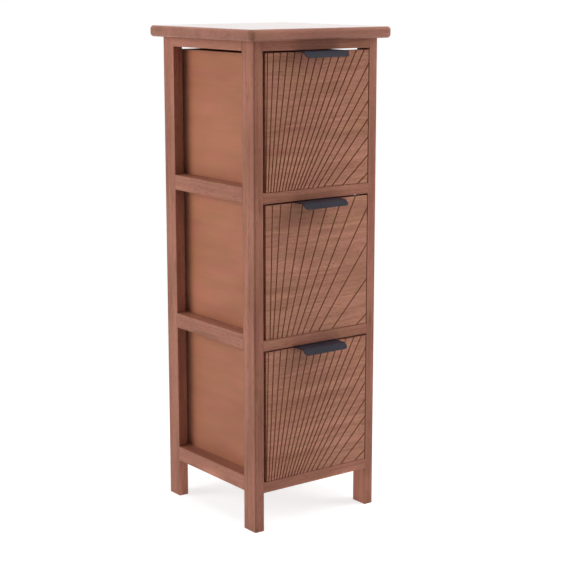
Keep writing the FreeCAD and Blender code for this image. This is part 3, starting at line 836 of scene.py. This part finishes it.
class CABINET_OT_screws(bpy.types.Operator):
    """Make the screws of the frame and the pulls"""

    bl_idname = "cabinet.screws"
    bl_label = "Make the screws"

    def execute(self, context):
        screw = context.scene.cabinet_screw
        tree = screw_tree()
        steel = plated_steel("zinc_plating", screw.steel, screw.stain)
        sunk = {"Top": screw.head, "Foot": screw.shank, "Level": 0.0}
        proud = {"Top": screw.shank, "Foot": screw.head, "Level": screw.rise}

        low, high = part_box("top_board_screws")
        mesh = self.screws("board_screws", self.board_places(screw), sunk, high.z - low.z, tree, steel)
        new_piece("board_screws", mesh, "cabinet", "screw_steel", "top_board_screws")

        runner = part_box("lower_right_runner")
        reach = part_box("runner_screws")[1].x - runner[0].x
        mesh = self.screws("runner_fixings", self.runner_places(screw), sunk, reach, tree, steel)
        new_piece("runner_fixings", mesh, "cabinet", "screw_steel", "runner_screws")

        for drawer in DRAWERS:
            node = f"{drawer}_drawer_handle_screws"
            low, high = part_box(node)
            places = self.pull_places(screw, low, high)
            mesh = self.screws(f"{drawer}_pull_screws", places, proud, high.y - low.y, tree, steel)
            new_piece(f"{drawer}_pull_screws", mesh, f"{drawer}_drawer", "screw_steel", node)
        return {"FINISHED"}

    @staticmethod
    def along_rail(screw, low, high):
        """The two places of screws along a side rail."""
        return [low.y + part * (high.y - low.y) for part in (screw.place, 1 - screw.place)]

    def board_places(self, screw):
        """Heads under the top side rails, aimed up."""
        found = []
        for side in SIDES:
            low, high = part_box(f"{side}_top_rail")
            middle = (low.x + high.x) / 2
            found += [((middle, y, low.z), (0, 0, 1)) for y in self.along_rail(screw, low, high)]
        return found

    def runner_places(self, screw):
        """Heads in the runners' open faces, aimed outwards."""
        found = []
        for side, outwards in zip(SIDES, (-1, 1)):
            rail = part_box(f"{side}_lower_rail")
            for drawer in DRAWERS:
                low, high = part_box(f"{drawer}_{side}_runner")
                face = high.x if side == "left" else low.x
                level = (low.z + high.z) / 2
                found += [((face, y, level), (outwards, 0, 0)) for y in self.along_rail(screw, *rail)]
        return found

    @staticmethod
    def pull_places(screw, low, high):
        """Heads on the back of a pull's tab, aimed forwards."""
        seat = high.y - screw.rise
        level = (low.z + high.z) / 2
        reach = high.x - screw.head / 2
        return [((side * reach, seat, level), (0, -1, 0)) for side in (-1, 1)]

    @staticmethod
    def screws(name, places, head, reach, tree, steel):
        """One mesh of screws at the places, from the head's top to the tip."""
        settings = bpy.context.scene.cabinet_screw
        mesh = bpy.data.meshes.new(name)
        mesh.from_pydata([spot for spot, _ in places], [], [])
        aims = mesh.attributes.new("aim", "FLOAT_VECTOR", "POINT")
        aims.data.foreach_set("vector", [part for _, aim in places for part in aim])
        draft = bpy.data.objects.new(name, mesh)
        bpy.context.scene.collection.objects.link(draft)
        maker = draft.modifiers.new("screws", "NODES")
        maker.node_group = tree
        inputs = {
            **head,
            "Rise": settings.rise,
            "Shank": settings.shank,
            "Length": reach - settings.rise,
            "Slot width": settings.slot_width,
            "Slot length": settings.slot_length,
            "Slot depth": settings.slot_depth,
            "Sides": settings.sides,
            "Steel": steel,
        }
        for item in tree.interface.items_tree:
            if item.in_out == "INPUT" and item.name in inputs:
                maker[item.identifier] = inputs[item.name]
        made = settle(draft)
        bpy.data.objects.remove(draft)
        return made


# Stage


def seen_directly(tree):
    """1 for rays from the camera, mirrored or let through, else 0."""
    path = tree.add("ShaderNodeLightPath").outputs
    mirrored = tree.calc("MAXIMUM", path["Is Glossy Ray"], path["Is Transmission Ray"])
    return tree.calc("MAXIMUM", path["Is Camera Ray"], mirrored)


class CABINET_OT_stage(bpy.types.Operator):
    """Set the floor, the soft lamps, the white surroundings and the camera"""

    bl_idname = "cabinet.stage"
    bl_label = "Set the stage"

    def execute(self, context):
        stage = context.scene.cabinet_stage
        context.scene.view_settings.view_transform = "Standard"
        self.lay_floor(stage)
        self.light_world(stage, context.scene)
        for name in ("side", "front", "top"):
            spot, size, watts = (getattr(stage, f"{name}_{fact}") for fact in ("place", "size", "power"))
            self.hang(f"{name}_lamp", self.soft_lamp(name, size, watts), spot, stage.aim)
        for name in ("low_front", "low_side"):
            spot, aim = (getattr(stage, f"{name}_{fact}") for fact in ("place", "aim"))
            self.hang(f"{name}_lamp", self.narrow_lamp(name, stage), spot, aim)
        self.set_camera(stage, context.scene)
        return {"FINISHED"}

    @staticmethod
    def lay_floor(stage):
        """A pale floor that the camera sees as white, but for the cabinet's shadow."""
        half = stage.floor_size / 2
        mesh = bpy.data.meshes.new("floor")
        corners = [(-half, -half, 0), (half, -half, 0), (half, half, 0), (-half, half, 0)]
        mesh.from_pydata(corners, [], [(0, 1, 2, 3)])
        floor = bpy.data.objects.new("floor", mesh)
        bpy.context.scene.collection.objects.link(floor)
        material, tree = new_material("pale_floor")
        plain = tree.add("ShaderNodeBsdfDiffuse", {"Color": opaque(stage.floor)})
        shadowed = tree.add("ShaderNodeBsdfDiffuse", {"Color": SHADED_FLOOR})
        glow = tree.add("ShaderNodeEmission", {"Strength": stage.floor_glow})
        near = tree.add("ShaderNodeAddShader", {0: shadowed.outputs[0], 1: glow.outputs[0]})
        far = tree.add("ShaderNodeEmission", {"Strength": 1.0})
        spot = tree.add("ShaderNodeTexCoord").outputs["Object"]
        reach = tree.add("ShaderNodeVectorMath", {0: spot}, operation="LENGTH").outputs["Value"]
        faded = tree.remap(reach, stage.floor_near, stage.floor_far)
        white = tree.add("ShaderNodeMixShader", {0: faded, 1: near.outputs[0], 2: far.outputs[0]})
        floor_shader = tree.add(
            "ShaderNodeMixShader",
            {0: seen_directly(tree), 1: plain.outputs[0], 2: white.outputs[0]},
        )
        show(tree, floor_shader)
        mesh.materials.append(material)

    @staticmethod
    def light_world(stage, scene):
        """White surroundings to the eye, and a softer light from all round."""
        world = bpy.data.worlds.new("white_studio")
        world.use_nodes = True
        world.node_tree.nodes.clear()
        tree = Tree(world.node_tree)
        strength = tree.remap(seen_directly(tree), 0.0, 1.0, stage.ambient, 1.0)
        sky = tree.add("ShaderNodeBackground", {"Color": WHITE, "Strength": strength})
        tree.add("ShaderNodeOutputWorld", {"Surface": sky.outputs[0]})
        scene.world = world

    @staticmethod
    def soft_lamp(name, size, watts):
        """The light of a large rectangular lamp."""
        light = bpy.data.lights.new(name, "AREA")
        light.shape = "RECTANGLE"
        light.size, light.size_y = size[0], size[1]
        light.energy = watts
        return light

    @staticmethod
    def narrow_lamp(name, stage):
        """The light of a low lamp, a beam that fades towards its edge."""
        light = bpy.data.lights.new(name, "SPOT")
        light.energy = stage.low_power
        light.shadow_soft_size = stage.low_radius
        light.spot_size = stage.low_cone
        light.spot_blend = 1.0
        return light

    @staticmethod
    def hang(name, light, spot, aim):
        """Puts a lamp at a spot, faced at its aim, and hides its own shape."""
        lamp = bpy.data.objects.new(name, light)
        lamp.location = spot
        lamp.rotation_euler = (Vector(aim) - Vector(spot)).to_track_quat("-Z", "Y").to_euler()
        lamp.visible_camera = False
        lamp.visible_glossy = False
        bpy.context.scene.collection.objects.link(lamp)

    @staticmethod
    def set_camera(stage, scene):
        """A camera at the front left, a little above the board."""
        data = bpy.data.cameras.new("camera")
        data.lens = data.sensor_width * stage.focus
        camera = bpy.data.objects.new("camera", data)
        camera.location = stage.camera_place
        level = math.cos(stage.camera_dip)
        ahead = Vector(
            (
                math.sin(stage.camera_turn) * level,
                math.cos(stage.camera_turn) * level,
                -math.sin(stage.camera_dip),
            )
        )
        camera.rotation_euler = ahead.to_track_quat("-Z", "Y").to_euler()
        scene.collection.objects.link(camera)
        scene.camera = camera


class CABINET_PT_looks(bpy.types.Panel):
    """Sizes, colours and steps of the cabinet's looks"""

    bl_idname = "CABINET_PT_looks"
    bl_label = "Cabinet"
    bl_space_type = "VIEW_3D"
    bl_region_type = "UI"
    bl_category = "Cabinet"

    def draw(self, context):
        for owner in GROUPS:
            settings = getattr(context.scene, owner)
            box = self.layout.box()
            for name in settings.bl_rna.properties.keys():
                if name not in ("rna_type", "name"):
                    box.prop(settings, name)
        for operator in OPERATORS:
            self.layout.operator(operator.bl_idname)


GROUPS = {
    "cabinet_wood": CabinetWood,
    "cabinet_pull": CabinetPull,
    "cabinet_screw": CabinetScrew,
    "cabinet_stage": CabinetStage,
}
OPERATORS = (
    CABINET_OT_frame,
    CABINET_OT_fronts,
    CABINET_OT_boxes,
    CABINET_OT_pulls,
    CABINET_OT_screws,
    CABINET_OT_stage,
)
CLASSES = (*GROUPS.values(), *OPERATORS, CABINET_PT_looks)


def register():
    for item in CLASSES:
        bpy.utils.register_class(item)
    for owner, group in GROUPS.items():
        setattr(bpy.types.Scene, owner, PointerProperty(type=group))


def unregister():
    for owner in GROUPS:
        delattr(bpy.types.Scene, owner)
    for item in reversed(CLASSES):
        bpy.utils.unregister_class(item)


def main():
    """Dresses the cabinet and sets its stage."""
    register()
    bpy.ops.cabinet.frame()
    bpy.ops.cabinet.fronts()
    bpy.ops.cabinet.boxes()
    bpy.ops.cabinet.pulls()
    bpy.ops.cabinet.screws()
    bpy.ops.cabinet.stage()


if __name__ == "__main__":
    main()
